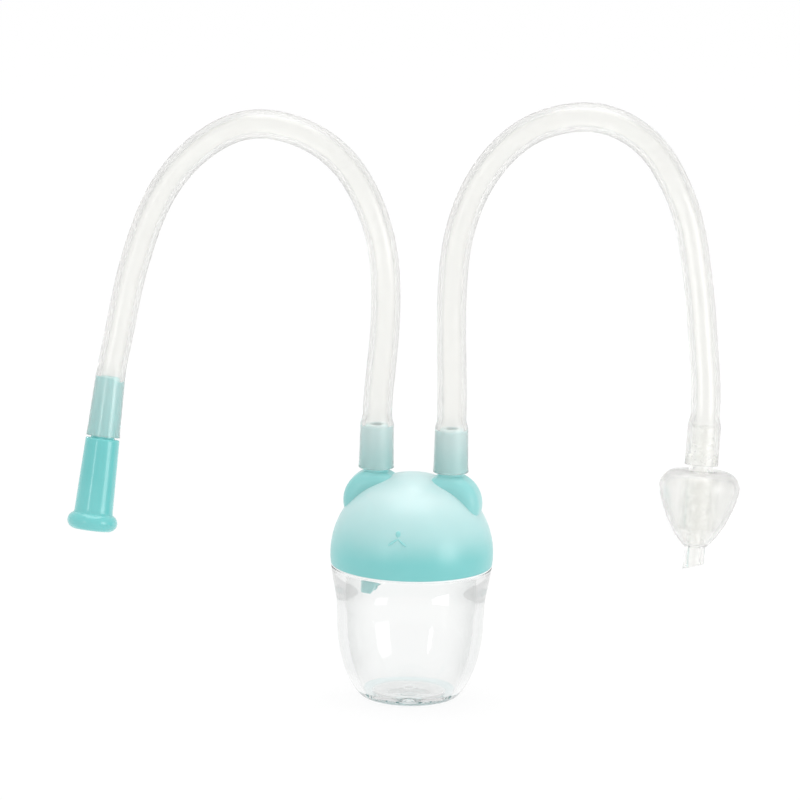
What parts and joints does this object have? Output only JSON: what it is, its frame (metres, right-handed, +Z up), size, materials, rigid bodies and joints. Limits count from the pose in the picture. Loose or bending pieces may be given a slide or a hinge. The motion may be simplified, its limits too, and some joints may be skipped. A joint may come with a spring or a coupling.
{
  "type": "nasal aspirator",
  "caption": "Mouth-suction nasal aspirator for babies: clear cup with a bear-head lid, one hose to a mouthpiece and one to a soft nose tip.",
  "frame": {"origin": "centre of the cup's flat foot, on the surface that the object stands on", "axes": "+Z up along the cup's axis; the bear's face looks along -Y; the mouthpiece is on the -X side and the nose tip on the +X side"},
  "size_m": [0.1859, 0.0446, 0.1697],
  "materials": {
    "clear_plastic": "clear, glossy, thick-walled moulding",
    "white_silicone": "soft white silicone",
    "aqua_plastic": "glossy aqua, slightly translucent",
    "hose_silicone": "clear silicone tube, smooth",
    "frosted_plastic": "frosted, translucent",
    "soft_silicone": "satin milky silicone"
  },
  "bodies": {
    "cup": {"collection_cup": "clear_plastic"},
    "seal": {"rim_gasket": "white_silicone"},
    "lid": {"bear_lid": "aqua_plastic", "drop_tube": "aqua_plastic"},
    "mouth_line": {"mouth_hose": "hose_silicone"},
    "mouth_end": {"mouthpiece": "aqua_plastic"},
    "nose_line": {"nose_hose": "hose_silicone"},
    "nose_link": {"nose_connector": "frosted_plastic"},
    "nose_end": {"nose_tip": "soft_silicone"}
  },
  "joints": [
    {"name": "lid_swivel", "type": "hinge", "parent": "cup", "child": "seal", "pos_m": [0, 0, 0.0371], "axis": [0, 0, 1], "continuous": true},
    {"name": "lid_lift", "type": "slide", "parent": "seal", "child": "lid", "axis": [0, 0, 1], "range_m": [0, 0.03]},
    {"name": "mouth_hose_pull", "type": "slide", "parent": "lid", "child": "mouth_line", "axis": [0, 0, 1], "range_m": [0, 0.018]},
    {"name": "nose_hose_pull", "type": "slide", "parent": "lid", "child": "nose_line", "axis": [0, 0, 1], "range_m": [0, 0.018]},
    {"name": "mouthpiece_pull", "type": "slide", "parent": "mouth_line", "child": "mouth_end", "axis": [-0.0685, -0.1908, -0.9792], "range_m": [0, 0.022]},
    {"name": "tip_swivel", "type": "hinge", "parent": "nose_line", "child": "nose_link", "pos_m": [0.0813, -0.007, 0.0722], "axis": [-0.0293, -0.1564, -0.9873], "continuous": true},
    {"name": "tip_pull", "type": "slide", "parent": "nose_link", "child": "nose_end", "axis": [-0.0293, -0.1564, -0.9873], "range_m": [0, 0.026]}
  ]
}
